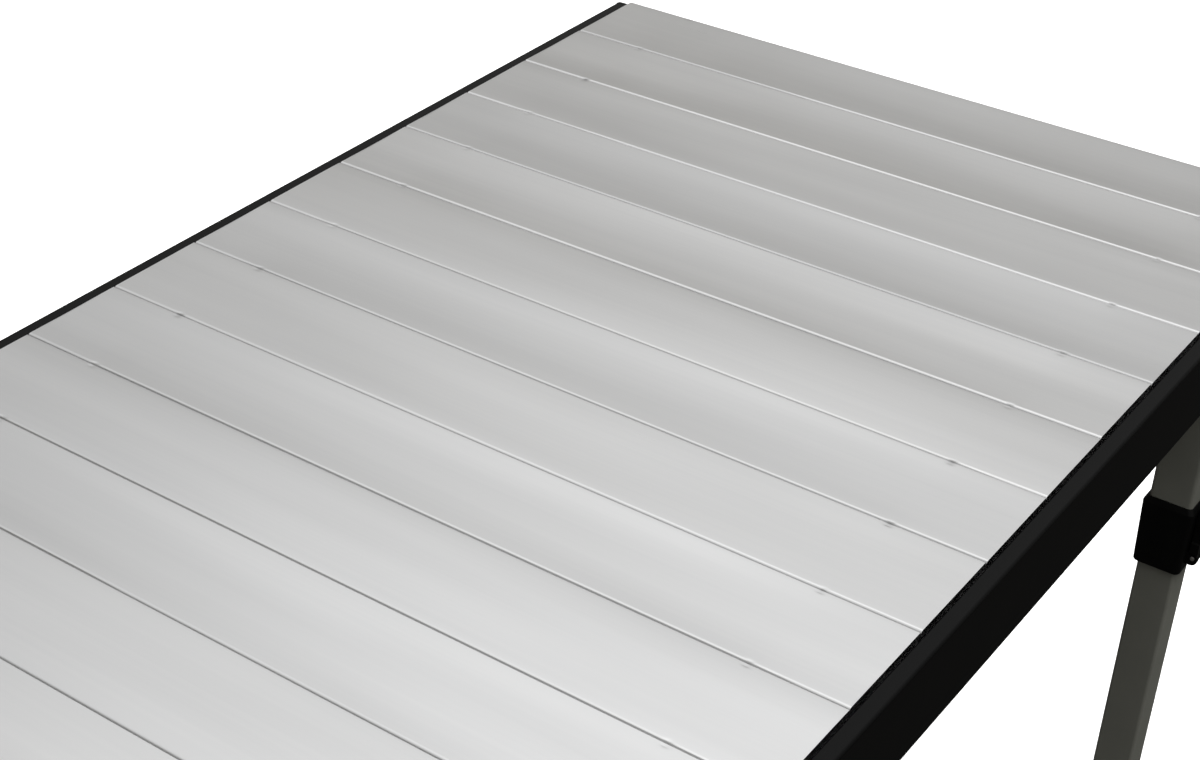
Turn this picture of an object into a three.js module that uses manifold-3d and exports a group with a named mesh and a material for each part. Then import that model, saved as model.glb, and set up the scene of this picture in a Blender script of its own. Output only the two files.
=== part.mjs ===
// A folding camp table: a roll-up top of hollow aluminium slats laid between two side rails,
// on two U-shaped leg frames that fold inward and have telescoping, clamped lower legs.
// Millimetres. X runs across the table, +Y towards its far end, +Z up. The origin is on the
// ground, under the middle of the top.
import * as THREE from "three";
import Module from "manifold-3d";
import { mergeVertices } from "three/addons/utils/BufferGeometryUtils.js";

const wasm = await Module();
wasm.setup();

// ---------------------------------------------------------------- driving dimensions
const TABLE_HEIGHT = 700;
const TABLE_LENGTH = 1200;
const TABLE_WIDTH = 604;
const TOUCH = 0.3; // gap left between two pieces that touch

const SLAT_COUNT = 16;
const SLAT_LENGTH = 580;
const SLAT_THICKNESS = 11;
const SLAT_WALL = 1.1;
const SLAT_SEAM = 0.7; // open gap between two slats

const CORD_INSET = 58; // from a slat's end to the elastic cord
const CORD_RADIUS = 1.5;
const CORD_HOLE_RADIUS = 2.4;

const RAIL_WIDTH = 11;
const RAIL_TOP_DROP = 2.4; // rail top below the slat tops
const RAIL_BOTTOM_DROP = 60;
const RAIL_WALL = 1.6;
const RAIL_CORNER = 2;
const LEDGE_WIDTH = 10;
const LEDGE_THICKNESS = 2;
const CAP_THICKNESS = 3.7;
const CAP_PLUG = 10;

const BEAM_WIDTH = 30;
const BEAM_HEIGHT = 7.7;
const BEAM_WALL = 1.3;
const END_BEAM_Y = 470;

const LEG_X = 261.5; // centre of a leg tube
const LEG_Y = 518;
const PIVOT_DROP = 41; // pivot below the slat tops
const UPPER_TUBE = 32.6;
const UPPER_CORNER = 3.2;
const LOWER_TUBE = 29.6;
const LOWER_CORNER = 2.4;
const TUBE_WALL = 1.2;
const PIN_RADIUS = 4;
const PIN_HOLE_RADIUS = 4.35;

const COLLAR_WIDTH = 39.4; // at its widest, under the chamfer
const COLLAR_FOOT_WIDTH = 36.4;
const COLLAR_CORNER = 4;
const COLLAR_TOP_DROP = 215.5; // below the slat tops
const COLLAR_CHAMFER = 4;
const RIM_WIDTH = 34.4;
const COLLAR_BOTTOM_DROP = 275;
const UPPER_END_DROP = 262;
const LOWER_TOP = 502; // top of the lower tube above the ground, with the leg drawn out
const LEVER_PIN_RADIUS = 1.8;
const LEVER_PIN_HOLE_RADIUS = 2.1;
const HUB_X = 23.4; // centre of the lever's hub from the middle of the tube
const HUB_RISE = 15; // and above the collar's bottom
const HUB_RADIUS = 4;
const EAR_INNER = 6.9;
const EAR_OUTER = 10.9;

const CROSSBAR_DROP = 74; // crossbar below the pivot
const CROSSBAR_RADIUS = 11;
const CROSSBAR_WALL = 1.5;

const FOOT_WIDTH = 34;
const FOOT_HEIGHT = 24;
const FOOT_FLOOR = 5;

// ---------------------------------------------------------------- derived dimensions
const PITCH = TABLE_LENGTH / SLAT_COUNT;
const SLAT_BOTTOM = TABLE_HEIGHT - SLAT_THICKNESS;
const CORD_X = SLAT_LENGTH / 2 - CORD_INSET;
const CORD_Z = TABLE_HEIGHT - SLAT_THICKNESS / 2;
const RAIL_OUTER_X = TABLE_WIDTH / 2;
const RAIL_INNER_X = RAIL_OUTER_X - RAIL_WIDTH;
const RAIL_LENGTH = TABLE_LENGTH - 2 * (CAP_THICKNESS + TOUCH);
const LEDGE_TOP = SLAT_BOTTOM - TOUCH;
const LEDGE_BOTTOM = LEDGE_TOP - LEDGE_THICKNESS;
const BEAM_TOP = LEDGE_BOTTOM - TOUCH;
const PIVOT_Z = TABLE_HEIGHT - PIVOT_DROP;
const UPPER_BOTTOM = PIVOT_DROP - UPPER_END_DROP; // from the pivot, as are the next three
const COLLAR_TOP = PIVOT_DROP - COLLAR_TOP_DROP;
const COLLAR_BOTTOM = PIVOT_DROP - COLLAR_BOTTOM_DROP;
const HUB_Z = COLLAR_BOTTOM + HUB_RISE;
const CLEVIS_REACH = RAIL_INNER_X - TOUCH - LEG_X;

// ---------------------------------------------------------------- materials
function finish(color, roughness, metalness) {
  return new THREE.MeshStandardMaterial({ color, roughness, metalness });
}
const BRUSHED_ALUMINIUM = finish(0xc4c5c4, 0.38, 1);
const BLACK_RAIL = finish(0x1f1f1e, 0.5, 0.4);
const GREY_TUBE = finish(0x363632, 0.45, 0.4);
const BLACK_PLASTIC = finish(0x151514, 0.6, 0);
const STEEL = finish(0x9a9b9d, 0.3, 1);
const ELASTIC = finish(0x222222, 0.9, 0);

// ---------------------------------------------------------------- solid helpers
function toSolid(geometry) {
  const bare = geometry.clone();
  bare.deleteAttribute("normal");
  bare.deleteAttribute("uv");
  const merged = mergeVertices(bare, 1e-4);
  return new wasm.Manifold(new wasm.Mesh({
    numProp: 3,
    vertProperties: merged.attributes.position.array,
    triVerts: new Uint32Array(merged.index.array),
  }));
}

function toGeometry(solid) {
  const mesh = solid.getMesh();
  const geometry = new THREE.BufferGeometry();
  geometry.setAttribute("position", new THREE.BufferAttribute(mesh.vertProperties, 3));
  geometry.setIndex(new THREE.BufferAttribute(mesh.triVerts, 1));
  geometry.computeVertexNormals();
  return geometry;
}

function cut(geometry, ...tools) {
  const solid = tools.reduce((left, tool) => left.subtract(toSolid(tool)), toSolid(geometry));
  return toGeometry(solid);
}

function join(geometry, ...others) {
  const solid = others.reduce((whole, other) => whole.add(toSolid(other)), toSolid(geometry));
  return toGeometry(solid);
}

function common(geometry, ...others) {
  const solid = others.reduce((rest, other) => rest.intersect(toSolid(other)), toSolid(geometry));
  return toGeometry(solid);
}

// An outline is a list of [u, v] points. This extrudes one along Z, with u as X and v as Y.
function prismZ(outline, low, high) {
  const shape = new THREE.Shape(outline.map(([u, v]) => new THREE.Vector2(u, v)));
  const geometry = new THREE.ExtrudeGeometry(shape, { depth: high - low, bevelEnabled: false });
  return geometry.translate(0, 0, low);
}

// An outline extruded along X, with u as Y and v as Z.
function prismX(outline, low, high) {
  const turn = new THREE.Matrix4().makeBasis(
    new THREE.Vector3(0, 1, 0), new THREE.Vector3(0, 0, 1), new THREE.Vector3(1, 0, 0));
  return prismZ(outline, low, high).applyMatrix4(turn);
}

// An outline extruded along Y, with u as X and v as Z.
function prismY(outline, low, high) {
  const turn = new THREE.Matrix4().makeBasis(
    new THREE.Vector3(1, 0, 0), new THREE.Vector3(0, 0, 1), new THREE.Vector3(0, -1, 0));
  return prismZ(outline, -high, -low).applyMatrix4(turn);
}

// The points of an arc, in quarter turns counted from the U axis.
function arc(u, v, radius, from, to, steps) {
  const points = [];
  for (let i = 0; i <= steps; i += 1) {
    const angle = (from + (to - from) * i / Math.max(steps, 1)) * Math.PI / 2;
    points.push([u + radius * Math.cos(angle), v + radius * Math.sin(angle)]);
  }
  return points;
}

function circle(u, v, radius, sides) {
  return arc(u, v, radius, 0, 4, sides).slice(0, sides);
}

// A rectangle with rounded corners. The radii go round from the low corner: low u and v,
// high u, high u and v, high v. A radius of 0 leaves a sharp corner.
function roundedRectangle(lowU, lowV, highU, highV, radii, steps = 3) {
  const [a, b, c, d] = Array.isArray(radii) ? radii : [radii, radii, radii, radii];
  const corner = (u, v, radius, from) => arc(u, v, radius, from, from + 1, radius ? steps : 0);
  return [
    ...corner(lowU + a, lowV + a, a, 2), ...corner(highU - b, lowV + b, b, 3),
    ...corner(highU - c, highV - c, c, 0), ...corner(lowU + d, highV - d, d, 1),
  ];
}

function roundedSquare(width, radius) {
  return roundedRectangle(-width / 2, -width / 2, width / 2, width / 2, radius, 4);
}

function rectangle(lowU, lowV, highU, highV) {
  return [[lowU, lowV], [highU, lowV], [highU, highV], [lowU, highV]];
}

function squareTube(width, corner, low, high) {
  const bore = roundedSquare(width - 2 * TUBE_WALL, corner - TUBE_WALL);
  return cut(prismZ(roundedSquare(width, corner), low, high), prismZ(bore, low - 1, high + 1));
}

// A block through square sections, from the bottom up. Each one is [z, width, corner radius].
function squareLoft(sections) {
  const rings = sections.map(([z, width, radius]) =>
    roundedSquare(width, radius).map(([x, y]) => [x, y, z]));
  const sides = rings[0].length;
  const faces = [];
  for (let level = 0; level + 1 < rings.length; level += 1) {
    for (let i = 0; i < sides; i += 1) {
      const [a, b] = [level * sides + i, level * sides + (i + 1) % sides];
      faces.push(a, b, b + sides, a, b + sides, a + sides);
    }
  }
  const top = (rings.length - 1) * sides;
  for (let i = 1; i + 1 < sides; i += 1) {
    faces.push(0, i + 1, i, top, top + i, top + i + 1);
  }
  const geometry = new THREE.BufferGeometry();
  geometry.setAttribute("position", new THREE.Float32BufferAttribute(rings.flat(2), 3));
  return geometry.setIndex(faces);
}

const table = new THREE.Group();

function addMesh(parent, name, geometry, material) {
  const mesh = new THREE.Mesh(geometry, material);
  mesh.name = name;
  parent.add(mesh);
  return mesh;
}

// ---------------------------------------------------------------- the slatted top
// A slat's section: a flat box with rounded top edges and one web down its middle. Cord holes
// go through both sides and the web. Y is measured from its middle and Z from its top.
function slatGeometry() {
  const half = (PITCH - SLAT_SEAM) / 2;
  const low = SLAT_WALL - SLAT_THICKNESS;
  const webHalf = SLAT_WALL / 2;
  const outline = roundedRectangle(-half, -SLAT_THICKNESS, half, 0, [0.6, 0.6, 1.2, 1.2]);
  const cavities = [[SLAT_WALL - half, -webHalf], [webHalf, half - SLAT_WALL]].map(
    ([near, far]) => prismX(rectangle(near, low, far, -SLAT_WALL), -SLAT_LENGTH, SLAT_LENGTH));
  const cordHoles = [-CORD_X, CORD_X].map((x) =>
    prismY(circle(x, -SLAT_THICKNESS / 2, CORD_HOLE_RADIUS, 8), -PITCH, PITCH));
  const bar = prismX(outline, -SLAT_LENGTH / 2, SLAT_LENGTH / 2);
  return cut(bar, ...cavities, ...cordHoles);
}

function addTop() {
  const geometry = slatGeometry();
  for (let i = 1; i <= SLAT_COUNT; i += 1) {
    const slat = addMesh(table, `slat_${String(i).padStart(2, "0")}`, geometry, BRUSHED_ALUMINIUM);
    slat.position.set(0, TABLE_LENGTH / 2 - (i - 0.5) * PITCH, TABLE_HEIGHT);
  }
  const cordEnd = TABLE_LENGTH / 2 - 3;
  for (const [name, x] of [["right_elastic_cord", CORD_X], ["left_elastic_cord", -CORD_X]]) {
    const cord = prismY(circle(0, 0, CORD_RADIUS, 8), -cordEnd, cordEnd);
    addMesh(table, name, cord, ELASTIC).position.set(x, 0, CORD_Z);
  }
}

// ---------------------------------------------------------------- side rails and beams
// The right rail's section: a tall hollow box.
function railGeometry() {
  const low = TABLE_HEIGHT - RAIL_BOTTOM_DROP;
  const high = TABLE_HEIGHT - RAIL_TOP_DROP;
  const box = roundedRectangle(RAIL_INNER_X, low, RAIL_OUTER_X, high,
    [1, RAIL_CORNER, RAIL_CORNER, 0.8]);
  const hollow = rectangle(RAIL_INNER_X + RAIL_WALL, low + RAIL_WALL,
    RAIL_OUTER_X - RAIL_WALL, high - RAIL_WALL);
  const half = RAIL_LENGTH / 2;
  return cut(prismY(box, -half, half), prismY(hollow, -half - 1, half + 1));
}

// The right ledge: a strip along the rail's inner face, on which the slats rest.
function ledgeGeometry() {
  const side = RAIL_INNER_X - TOUCH;
  const strip = roundedRectangle(side - LEDGE_WIDTH, LEDGE_BOTTOM, side, LEDGE_TOP,
    [0.6, 0, 0, 0.6]);
  return prismY(strip, -RAIL_LENGTH / 2, RAIL_LENGTH / 2);
}

// A rail's end cap, centred on the rail: a plate with rounded outer corners and a plug.
function capGeometry() {
  const low = TABLE_HEIGHT - RAIL_BOTTOM_DROP;
  const high = TABLE_HEIGHT - RAIL_TOP_DROP;
  const half = RAIL_WIDTH / 2;
  const plate = roundedRectangle(-half, 0, half, CAP_THICKNESS, [0, 0, 3.5, 3.5], 4);
  const side = RAIL_WALL + TOUCH;
  const plug = rectangle(side - half, -CAP_PLUG, half - side, CAP_THICKNESS / 2);
  return join(prismZ(plate, low, high), prismZ(plug, low + side, high - side));
}

// A cross beam's section: a flat hollow bar that hangs below Z = 0.
function beamGeometry() {
  const half = BEAM_WIDTH / 2;
  const hollow = rectangle(BEAM_WALL - half, BEAM_WALL - BEAM_HEIGHT, half - BEAM_WALL, -BEAM_WALL);
  const reach = RAIL_INNER_X - TOUCH;
  return cut(prismX(rectangle(-half, -BEAM_HEIGHT, half, 0), -reach, reach),
    prismX(hollow, -reach - 1, reach + 1));
}

function addFrame() {
  const rail = railGeometry();
  const ledge = ledgeGeometry();
  const cap = capGeometry();
  for (const [name, side] of [["right", 1], ["left", -1]]) {
    const turn = side > 0 ? 0 : Math.PI;
    addMesh(table, `${name}_rail`, rail, BLACK_RAIL).rotation.z = turn;
    addMesh(table, `${name}_slat_ledge`, ledge, BLACK_RAIL).rotation.z = turn;
    for (const [end, toEnd] of [["far", 1], ["near", -1]]) {
      const mesh = addMesh(table, `${name}_rail_cap_${end}`, cap, BLACK_PLASTIC);
      mesh.position.set(side * (RAIL_INNER_X + RAIL_WIDTH / 2),
        toEnd * (TABLE_LENGTH / 2 - CAP_THICKNESS), 0);
      mesh.rotation.z = toEnd > 0 ? 0 : Math.PI;
    }
  }
  const beam = beamGeometry();
  for (const [name, y] of [["far", END_BEAM_Y], ["middle", 0], ["near", -END_BEAM_Y]]) {
    addMesh(table, `${name}_cross_beam`, beam, BLACK_RAIL).position.set(0, y, BEAM_TOP);
  }
}

// ---------------------------------------------------------------- legs
// A leg's pieces are drawn around its pivot, with +X towards its rail. outward is 1 where the
// table's end lies on the +Y side of the leg, and -1 where it lies on the -Y side.

// A hinge bracket: an inverted U over the leg's top, with a thick cheek fixed to the rail.
function bracketGeometry() {
  const low = -17;
  const web = UPPER_TUBE / 2 + TOUCH;
  const gap = UPPER_TUBE / 2 + 0.5;
  const inner = gap + 4.4;
  const top = BEAM_TOP - PIVOT_Z;
  const section = [
    [gap, low], [CLEVIS_REACH, low], [CLEVIS_REACH, top], [gap + 6, top], [gap + 6, web + 3.5],
    [-inner, web + 3.5], [-inner, low], [-gap, low], [-gap, web], [gap, web],
  ];
  const side = roundedRectangle(-24, low, 24, top, [10, 10, 2, 2], 4);
  const block = common(prismY(section, -30, 30), prismX(side, -40, 40));
  return cut(block, prismX(circle(0, 0, PIN_HOLE_RADIUS, 16), -40, 40));
}

// A headed pivot pin along X, turned from its outline.
function pinGeometry() {
  const head = -24;
  const tip = CLEVIS_REACH - 1;
  const outline = [[0, head], [6.5, head], [6.5, head + 2.6], [PIN_RADIUS, head + 2.6],
    [PIN_RADIUS, tip], [0, tip]].map(([radius, x]) => new THREE.Vector2(radius, x));
  return new THREE.LatheGeometry(outline, 16).rotateZ(-Math.PI / 2);
}

// An upper leg tube. Its top is square on the outward side, where it stops against the
// bracket, and round on the inward side, where it turns past it as the leg folds.
function upperLegGeometry(outward) {
  const half = UPPER_TUBE / 2;
  const top = outward > 0
    ? [[half, half], ...arc(0, 0, half, 1, 2, 6)]
    : [...arc(0, 0, half, 0, 1, 6), [-half, half]];
  const profile = [[-half, UPPER_BOTTOM], [half, UPPER_BOTTOM], ...top];
  const bore = prismX(circle(0, 0, PIN_HOLE_RADIUS, 16), -UPPER_TUBE, UPPER_TUBE);
  const tube = squareTube(UPPER_TUBE, UPPER_CORNER, UPPER_BOTTOM, half);
  return cut(common(tube, prismX(profile, -UPPER_TUBE, UPPER_TUBE)), bore);
}

function lowerLegGeometry() {
  const low = FOOT_FLOOR + TOUCH - PIVOT_Z;
  return squareTube(LOWER_TUBE, LOWER_CORNER, low, LOWER_TOP - PIVOT_Z);
}

// A square hole that a tube fits with room to slide.
function socket(width, corner, low, high) {
  return prismZ(roundedSquare(width + 2 * TOUCH, corner + TOUCH), low, high);
}

// A moulded foot: a rounded block, chamfered at the ground, with a socket for the tube.
function footGeometry() {
  const low = -PIVOT_Z;
  const high = FOOT_HEIGHT - PIVOT_Z;
  const block = squareLoft([
    [low, FOOT_WIDTH - 4, 4], [low + 2, FOOT_WIDTH, 5], [high - 1, FOOT_WIDTH, 5],
    [high, FOOT_WIDTH - 2, 4],
  ]);
  return cut(block, socket(LOWER_TUBE, LOWER_CORNER, low + FOOT_FLOOR, high + 1));
}

// A clamp collar: a stepped sleeve around both tubes, wider towards its chamfered top, with a
// slit on the outside that the lever draws shut and two ears that carry the lever's pin.
function collarGeometry() {
  const half = COLLAR_WIDTH / 2;
  const shoulder = COLLAR_TOP - COLLAR_CHAMFER;
  const body = squareLoft([
    [COLLAR_BOTTOM, COLLAR_FOOT_WIDTH - 2, COLLAR_CORNER],
    [COLLAR_BOTTOM + 1.2, COLLAR_FOOT_WIDTH, COLLAR_CORNER],
    [shoulder, COLLAR_WIDTH, COLLAR_CORNER], [COLLAR_TOP, RIM_WIDTH, COLLAR_CORNER],
  ]);
  const rounding = prismY(roundedRectangle(-half, COLLAR_BOTTOM, half, COLLAR_TOP,
    [5, 5, 0, 0], 4), -half, half);
  const ear = roundedRectangle(half - 4, HUB_Z - HUB_RADIUS - 2, HUB_X + HUB_RADIUS,
    HUB_Z + HUB_RADIUS, [0, 5, 3.5, 0], 5);
  const ears = [EAR_INNER, -EAR_OUTER].map((low) =>
    prismY(ear, low, low + EAR_OUTER - EAR_INNER));
  const slit = prismZ(rectangle(half - 7, -1, half + 1, 1), COLLAR_BOTTOM - 1, shoulder - 12);
  const pinBore = prismY(circle(HUB_X, HUB_Z, LEVER_PIN_HOLE_RADIUS, 12), -20, 20);
  return cut(join(common(body, rounding), ...ears),
    socket(UPPER_TUBE, UPPER_CORNER, UPPER_BOTTOM - TOUCH, COLLAR_TOP + 1),
    socket(LOWER_TUBE, LOWER_CORNER, COLLAR_BOTTOM - 1, UPPER_BOTTOM), slit, pinBore);
}

// A clamp lever: a hub between the collar's ears, on its pin, and a handle that lies up the
// outside of the collar and flares away from it at the tip.
function leverGeometry() {
  const face = COLLAR_WIDTH / 2 + 0.6;
  const outer = HUB_X + 3.2;
  const tip = COLLAR_TOP + 2;
  const handle = [
    [face, HUB_Z + 5], [outer, HUB_Z + 5], [outer, tip - 13], [outer + 0.3, tip - 6],
    [outer + 0.9, tip], [outer - 2.4, tip], [face + 1.2, tip - 6], [face, tip - 13],
  ];
  const neck = rectangle(face, HUB_Z, outer, HUB_Z + 9);
  const hubHalf = EAR_INNER - 0.4;
  const pinHalf = EAR_OUTER + 0.4;
  return join(
    prismY(circle(HUB_X, HUB_Z, HUB_RADIUS, 16), -hubHalf, hubHalf),
    prismY(neck, -hubHalf, hubHalf),
    prismY(handle, -EAR_OUTER, EAR_OUTER),
    prismY(circle(HUB_X, HUB_Z, LEVER_PIN_RADIUS, 12), -pinHalf, pinHalf));
}

function addLeg(parent, name, side, end) {
  const corner = new THREE.Group();
  corner.position.set(side * LEG_X, end * LEG_Y, PIVOT_Z);
  corner.rotation.z = side > 0 ? 0 : Math.PI;
  parent.add(corner);
  addMesh(corner, `${name}_hinge_bracket`, bracketGeometry(), BLACK_PLASTIC);
  addMesh(corner, `${name}_pivot_pin`, pinGeometry(), STEEL);
  addMesh(corner, `${name}_upper_leg`, upperLegGeometry(side * end), GREY_TUBE);
  addMesh(corner, `${name}_clamp_collar`, collarGeometry(), BLACK_PLASTIC);
  addMesh(corner, `${name}_clamp_lever`, leverGeometry(), BLACK_PLASTIC);
  addMesh(corner, `${name}_lower_leg`, lowerLegGeometry(), GREY_TUBE);
  addMesh(corner, `${name}_foot`, footGeometry(), BLACK_PLASTIC);
}

function addLegs() {
  const reach = LEG_X - UPPER_TUBE / 2 - TOUCH;
  const crossbar = cut(prismX(circle(0, 0, CROSSBAR_RADIUS, 20), -reach, reach),
    prismX(circle(0, 0, CROSSBAR_RADIUS - CROSSBAR_WALL, 20), -reach - 1, reach + 1));
  for (const [end, toEnd] of [["far", 1], ["near", -1]]) {
    addLeg(table, `${end}_right`, 1, toEnd);
    addLeg(table, `${end}_left`, -1, toEnd);
    const mesh = addMesh(table, `${end}_leg_crossbar`, crossbar, GREY_TUBE);
    mesh.position.set(0, toEnd * LEG_Y, PIVOT_Z - CROSSBAR_DROP);
  }
}

addTop();
addFrame();
addLegs();

export default table;
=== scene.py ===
import math
import random

import bmesh
import bpy
from mathutils import Matrix, Vector
from mathutils.geometry import tessellate_polygon


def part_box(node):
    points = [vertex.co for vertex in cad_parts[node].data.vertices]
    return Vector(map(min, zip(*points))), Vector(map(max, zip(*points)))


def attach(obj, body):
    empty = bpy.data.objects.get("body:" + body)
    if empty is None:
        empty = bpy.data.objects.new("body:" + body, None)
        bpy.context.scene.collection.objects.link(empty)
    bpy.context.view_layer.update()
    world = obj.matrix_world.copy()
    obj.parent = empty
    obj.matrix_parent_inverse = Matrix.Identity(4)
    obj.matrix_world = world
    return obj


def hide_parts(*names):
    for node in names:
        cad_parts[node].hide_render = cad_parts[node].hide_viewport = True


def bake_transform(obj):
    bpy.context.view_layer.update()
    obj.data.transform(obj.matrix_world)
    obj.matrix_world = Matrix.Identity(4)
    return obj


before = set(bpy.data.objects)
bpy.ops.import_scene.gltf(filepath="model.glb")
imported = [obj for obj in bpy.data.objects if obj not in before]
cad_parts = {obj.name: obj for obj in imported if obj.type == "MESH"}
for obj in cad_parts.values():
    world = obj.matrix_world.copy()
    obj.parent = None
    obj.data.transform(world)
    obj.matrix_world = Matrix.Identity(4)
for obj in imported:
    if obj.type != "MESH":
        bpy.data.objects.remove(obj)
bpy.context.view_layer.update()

scene = bpy.context.scene
MM = 0.001
SIDES = (("right", 1), ("left", -1))
ENDS = (("far", 1), ("near", -1))
CORNERS = [(f"{end}_{side}", across, along) for end, along in ENDS for side, across in SIDES]
AXES = {"X": (1, 2, 0), "Y": (0, 2, 1), "Z": (0, 1, 2)}  # where a section's u, v and length go
SLAT_COUNT = sum(node.startswith("slat_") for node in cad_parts)

# ---------------------------------------------------------------- sizes the boxes don't give
SLAT_WALL = 1.1 * MM
SLAT_NEAR_EDGE = 2.2 * MM  # radii of its top edges
SLAT_FAR_EDGE = 0.3 * MM
# How far each slat's top is hollowed, from the far end, in tenths of a millimetre
SLAT_CUPS = (6, 9, 4, 8, 9, -2, 7, 3, 8, -2, 8, 0, 5, 3, 6, 2)
SLAT_DROOP = 0.1 * MM  # of its long edges
SLAT_TWIST = 0.1 * MM
SLAT_END_JOG = 0.4 * MM
DENT_DEPTH = 0.22 * MM  # beside a seam, over the cords
DENT_LENGTH = 2.2 * MM
DENT_WIDTH = 0.9 * MM
DENT_INSET = 1.7 * MM  # from a slat's edge
CORD_HOLE = 2.4 * MM
RAIL_WALL = 1.6 * MM
TUBE_WALL = 1.2 * MM
BEAM_WALL = 1.3 * MM
CROSSBAR_WALL = 1.5 * MM
PIVOT_BORE = 4.35 * MM
RIVET_OFFSET = 9 * MM  # from a beam's middle
CAP_THICKNESS = 3.7 * MM
HUB_FROM_LEG = 23.4 * MM  # a clamp lever's hub, out from the leg's middle
HUB_OVER_FOOT = 15 * MM  # above its collar's foot
EAR_INNER = 6.9 * MM  # a collar's ears, out from the leg's middle along Y
EAR_OUTER = 10.9 * MM
HUB_HALF = 6.5 * MM  # half a hub's length, between the ears
BEYOND = 40 * MM  # further from a leg's pivot than any side of it, for cutting tools
COLLAR_FOOT = 36.4 * MM  # its widths at the bottom and at the top
COLLAR_RIM = 34.4 * MM
COLLAR_CHAMFER = 4 * MM
COLLAR_CORNER = 4 * MM


# ---------------------------------------------------------------- sections
def fillet(corners, radii, steps=6):
    """The outline of the polygon through these corners, each rounded to its radius."""
    if not hasattr(radii, "__len__"):
        radii = [radii] * len(corners)
    points = []
    for i, radius in enumerate(radii):
        here = Vector(corners[i])
        if radius <= 0:
            points.append(tuple(here))
            continue
        before = (Vector(corners[i - 1]) - here).normalized()
        after = (Vector(corners[(i + 1) % len(corners)]) - here).normalized()
        half = before.angle(after) / 2
        middle = here + (before + after).normalized() * (radius / math.sin(half))
        start = here + before * (radius / math.tan(half)) - middle
        end = here + after * (radius / math.tan(half)) - middle
        turn = math.atan2(start.x * end.y - start.y * end.x, start.dot(end))
        for step in range(steps + 1):
            points.append(tuple(middle + Matrix.Rotation(turn * step / steps, 2) @ start))
    return points


def box_corners(low_u, low_v, high_u, high_v):
    return [(low_u, low_v), (high_u, low_v), (high_u, high_v), (low_u, high_v)]


def rounded_square(width, radius, steps=6):
    half = width / 2
    return fillet(box_corners(-half, -half, half, half), radius, steps)


def circle(u, v, radius, sides=32):
    angles = [2 * math.pi * i / sides for i in range(sides)]
    return [(u + radius * math.cos(a), v + radius * math.sin(a)) for a in angles]


# ---------------------------------------------------------------- solids, as bmeshes
def prism(axis, stations, outer, holes=(), shape=None):
    """A bar of this section along an axis. shape moves each point, if it is given."""
    solid = bmesh.new()
    u, v, w = AXES[axis]

    def vertex(point, station):
        place = [0, 0, 0]
        place[u], place[v], place[w] = point[0], point[1], station
        return solid.verts.new(shape(*place) if shape else place)

    loops = [outer, *holes]
    rings = [[[vertex(p, s) for p in loop] for loop in loops] for s in stations]
    for before, after in zip(rings, rings[1:]):
        for a, b in zip(before, after):
            for i in range(len(a)):
                j = (i + 1) % len(a)
                solid.faces.new((a[i], a[j], b[j], b[i]))
    for ring in (rings[0], rings[-1]):
        if not holes:
            solid.faces.new(ring[0])
            continue
        flat = [corner for loop in ring for corner in loop]
        sections = [[Vector((p[0], p[1], 0)) for p in loop] for loop in loops]
        for triangle in tessellate_polygon(sections):
            solid.faces.new([flat[i] for i in triangle])
    bmesh.ops.recalc_face_normals(solid, faces=solid.faces)
    return solid


def loft(rings):
    """A closed solid through rings of equally many points, from one end to the other."""
    solid = bmesh.new()
    made = [[solid.verts.new(p) for p in ring] for ring in rings]
    for a, b in zip(made, made[1:]):
        for i in range(len(a)):
            j = (i + 1) % len(a)
            solid.faces.new((a[i], a[j], b[j], b[i]))
    solid.faces.new(made[0])
    solid.faces.new(made[-1])
    bmesh.ops.recalc_face_normals(solid, faces=solid.faces)
    return solid


def square_loft(sections):
    """A block through rounded squares [(z, width, corner radius), ...]."""
    return loft([[(x, y, z) for x, y in rounded_square(width, radius)]
                 for z, width, radius in sections])


def turned(axis, profile, sides=32):
    """A solid of revolution along an axis through the origin: [(radius, place along it), ...]."""
    u, v, w = AXES[axis]
    rings = []
    for radius, station in profile:
        ring = []
        for x, y in circle(0, 0, radius, sides):
            place = [0, 0, 0]
            place[u], place[v], place[w] = x, y, station
            ring.append(place)
        rings.append(ring)
    return loft(rings)


def temporary(solid):
    data = bpy.data.meshes.new("temporary")
    solid.to_mesh(data)
    solid.free()
    obj = bpy.data.objects.new("temporary", data)
    scene.collection.objects.link(obj)
    return obj


def combine(operation, solid, *tools):
    """solid with each tool cut away (DIFFERENCE), joined (UNION) or kept (INTERSECT)."""
    for tool in tools:
        a, b = temporary(solid), temporary(tool)
        boolean = a.modifiers.new("boolean", "BOOLEAN")
        boolean.operation, boolean.object, boolean.solver = operation, b, "EXACT"
        bpy.context.view_layer.update()
        depsgraph = bpy.context.evaluated_depsgraph_get()
        result = bpy.data.meshes.new_from_object(a.evaluated_get(depsgraph))
        solid = bmesh.new()
        solid.from_mesh(result)
        for obj in (a, b):
            data = obj.data
            bpy.data.objects.remove(obj)
            bpy.data.meshes.remove(data)
        bpy.data.meshes.remove(result)
        bmesh.ops.remove_doubles(solid, verts=solid.verts, dist=1e-7)
    return solid


def moved(solid, matrix):
    solid.transform(matrix)
    return solid


# ---------------------------------------------------------------- materials
def add(tree, kind, inputs=(), **settings):
    """A node with these settings, and inputs [(socket, value or another node's output), ...]."""
    node = tree.nodes.new(kind)
    for key, value in settings.items():
        setattr(node, key, value)
    for key, value in inputs:
        if isinstance(value, bpy.types.NodeSocket):
            tree.links.new(value, node.inputs[key])
        else:
            node.inputs[key].default_value = value
    return node


def math_node(tree, operation, a, b=0.0):
    return add(tree, "ShaderNodeMath", [(0, a), (1, b)], operation=operation).outputs[0]


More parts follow.
